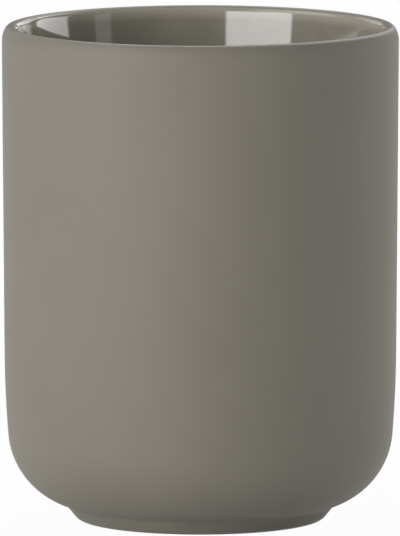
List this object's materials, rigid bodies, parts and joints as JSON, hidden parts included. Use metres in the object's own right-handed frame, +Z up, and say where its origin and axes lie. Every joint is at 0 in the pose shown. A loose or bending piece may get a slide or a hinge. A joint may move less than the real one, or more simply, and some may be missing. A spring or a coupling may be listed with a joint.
{
  "type": "toothbrush holder",
  "caption": "Straight-sided ceramic bathroom tumbler with a rounded heel, a small foot ring, a matte soft-touch outside and a glossy glazed inside, for holding toothbrushes upright.",
  "frame": {"origin": "middle of the foot ring's resting face, on the surface that the cup stands on", "axes": "+Z up along the cup's axis; X and Y are equal, because the cup is round"},
  "size_m": [0.0798, 0.0798, 0.1],
  "materials": {
    "stoneware": "bare fired clay, fine sandy grain",
    "soft_touch": "matte soft-touch film, taupe",
    "glaze": "glossy glaze, taupe"
  },
  "bodies": {
    "root": {"stoneware_body": "stoneware", "soft_touch_coat": "soft_touch", "glaze_lining": "glaze", "base_glaze": "glaze"}
  },
  "joints": []
}
